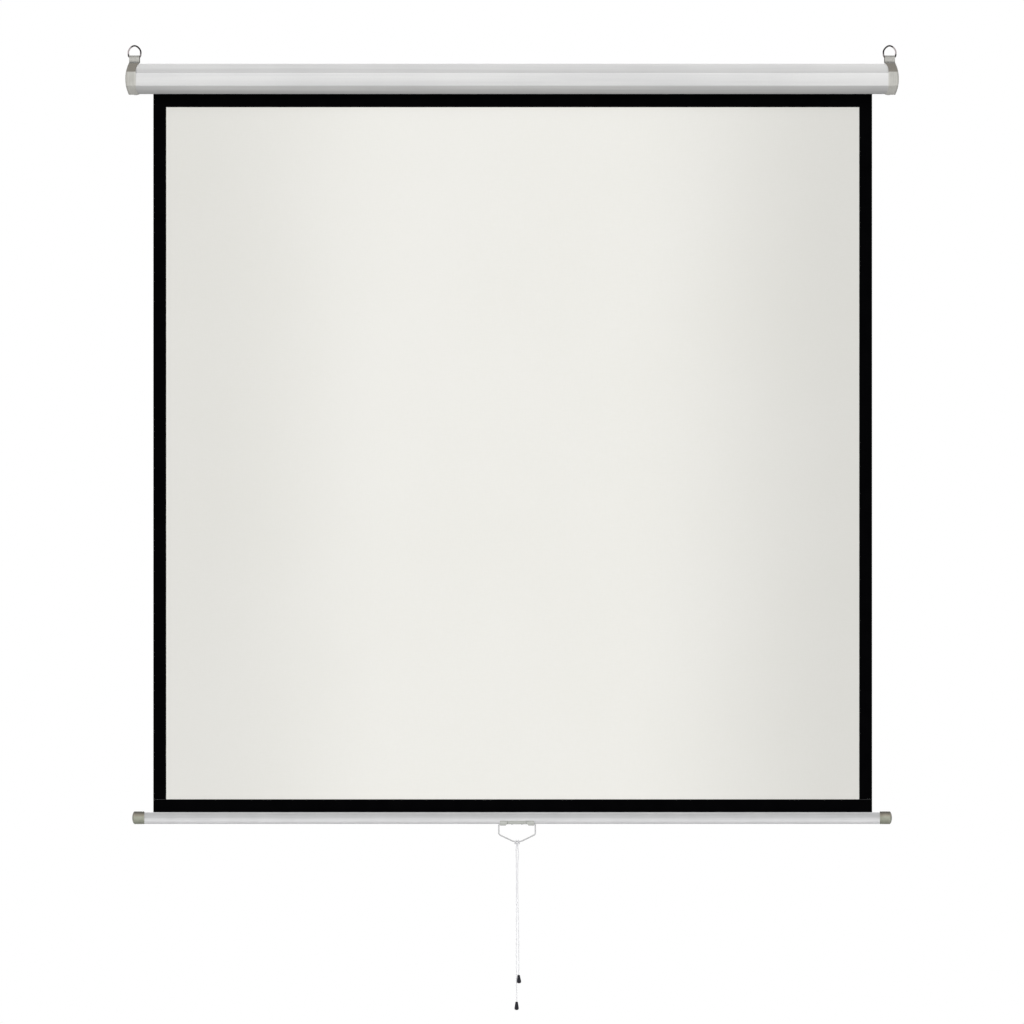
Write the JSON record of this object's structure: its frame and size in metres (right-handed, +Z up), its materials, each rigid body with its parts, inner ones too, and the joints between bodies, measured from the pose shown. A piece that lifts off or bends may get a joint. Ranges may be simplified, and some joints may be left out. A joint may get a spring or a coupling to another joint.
{
  "type": "pull down projector screen",
  "caption": "Manual pull down projection screen: long octagonal case with hanging rings, white cloth with black border, weight bar, wire handle and pull cord.",
  "frame": {"origin": "midway between the two hanging rings, at the top of the space inside them, where the hooks bear", "axes": "+Z up, -Y the way the picture faces, +X to the right of someone who looks at the picture, +Y to the wall"},
  "size_m": [1.7, 0.0694, 2.1229],
  "materials": {
    "case_paint": "satin grey-white powder coat",
    "cap_metal": "satin metallic grey",
    "strap_steel": "satin",
    "ring_chrome": "dark polished wire",
    "zinc_fasteners": "zinc plated",
    "bearing_steel": "zinc plated sheet",
    "roller_steel": "galvanised",
    "spring_steel": "oiled",
    "nylon": "natural",
    "black_plastic": "moulded",
    "matte_white_cloth": "matte white projection surface",
    "black_border": "matte black print",
    "bar_paint": "satin light grey",
    "bar_cap_plastic": "greenish grey, satin",
    "bracket_paint": "satin grey",
    "bail_wire": "bright wire",
    "white_cord": "braided",
    "bell_plastic": "moulded"
  },
  "bodies": {
    "case": {"case_shell": "case_paint", "end_cap_left": "cap_metal", "end_cap_right": "cap_metal", "cap_screw_left_lower": "zinc_fasteners", "cap_screw_right_lower": "zinc_fasteners", "cap_screw_left_rear": "zinc_fasteners", "cap_screw_right_rear": "zinc_fasteners", "hanger_tab_left": "strap_steel", "hanger_tab_right": "strap_steel", "tab_rivet_left_front": "zinc_fasteners", "tab_rivet_left_rear": "zinc_fasteners", "tab_rivet_right_front": "zinc_fasteners", "tab_rivet_right_rear": "zinc_fasteners", "bearing_plate_left": "bearing_steel", "bearing_plate_right": "bearing_steel", "idle_bush": "nylon", "spindle": "spring_steel", "ratchet_wheel": "spring_steel", "torsion_spring": "spring_steel", "spring_anchor": "black_plastic", "screen_fabric": "matte_white_cloth", "border_mask": "black_border"},
    "roller": {"roller_tube": "roller_steel", "drive_ferrule": "roller_steel", "idle_plug": "black_plastic", "gudgeon_pin": "spring_steel", "spring_drive_plug": "black_plastic", "fabric_wraps": "matte_white_cloth", "pawl_pin_a": "zinc_fasteners", "pawl_pin_b": "zinc_fasteners"},
    "pawl_upper": {"pawl_a": "zinc_fasteners"},
    "pawl_lower": {"pawl_b": "zinc_fasteners"},
    "weight_bar": {"bottom_bar": "bar_paint", "bar_cap_left": "bar_cap_plastic", "bar_cap_right": "bar_cap_plastic", "bottom_hem": "black_border", "hem_rod": "nylon", "handle_bracket": "bracket_paint", "bracket_screw_left": "zinc_fasteners", "bracket_screw_right": "zinc_fasteners"},
    "handle": {"handle_bail": "bail_wire"},
    "pull_cord": {"cord_hitch": "white_cord", "cord_left": "white_cord", "cord_right": "white_cord", "cord_bell_left": "bell_plastic", "cord_bell_right": "bell_plastic"},
    "ring_left": {"hanging_ring_left": "ring_chrome"},
    "ring_right": {"hanging_ring_right": "ring_chrome"}
  },
  "joints": [
    {"name": "screen_slide", "type": "slide", "parent": "case", "child": "weight_bar", "axis": [0, 0, 1], "range_m": [0, 1.5759], "deforming": ["screen_fabric", "border_mask"]},
    {"name": "roller_spin", "type": "hinge", "parent": "case", "child": "roller", "pos_m": [0, -0.009, -0.0727], "axis": [1, 0, 0], "range_deg": [0, 4640]},
    {"name": "pawl_a_swing", "type": "hinge", "parent": "roller", "child": "pawl_upper", "pos_m": [0.8194, -0.009, -0.0602], "axis": [1, 0, 0], "range_deg": [-25, 0]},
    {"name": "pawl_b_swing", "type": "hinge", "parent": "roller", "child": "pawl_lower", "pos_m": [0.8194, -0.009, -0.0852], "axis": [1, 0, 0], "range_deg": [-25, 0]},
    {"name": "handle_swing", "type": "hinge", "parent": "weight_bar", "child": "handle", "pos_m": [0.0109, -0.00059, -1.71178], "axis": [1, 0, 0], "range_deg": [-120, 60]},
    {"name": "cord_swing", "type": "hinge", "parent": "handle", "child": "pull_cord", "pos_m": [0.0109, -0.00059, -1.74938], "axis": [1, 0, 0], "range_deg": [-60, 120]},
    {"name": "ring_left_swing", "type": "hinge", "parent": "case", "child": "ring_left", "pos_m": [-0.83005, 0, -0.0244], "axis": [1, 0, 0], "range_deg": [-90, 90]},
    {"name": "ring_right_swing", "type": "hinge", "parent": "case", "child": "ring_right", "pos_m": [0.83005, 0, -0.0244], "axis": [1, 0, 0], "range_deg": [-90, 90]}
  ],
  "couplings": [
    {"joint": "roller_spin", "follows": "screen_slide", "rad_per_m": 51.273},
    {"joint": "cord_swing", "follows": "handle_swing", "ratio": -1}
  ]
}
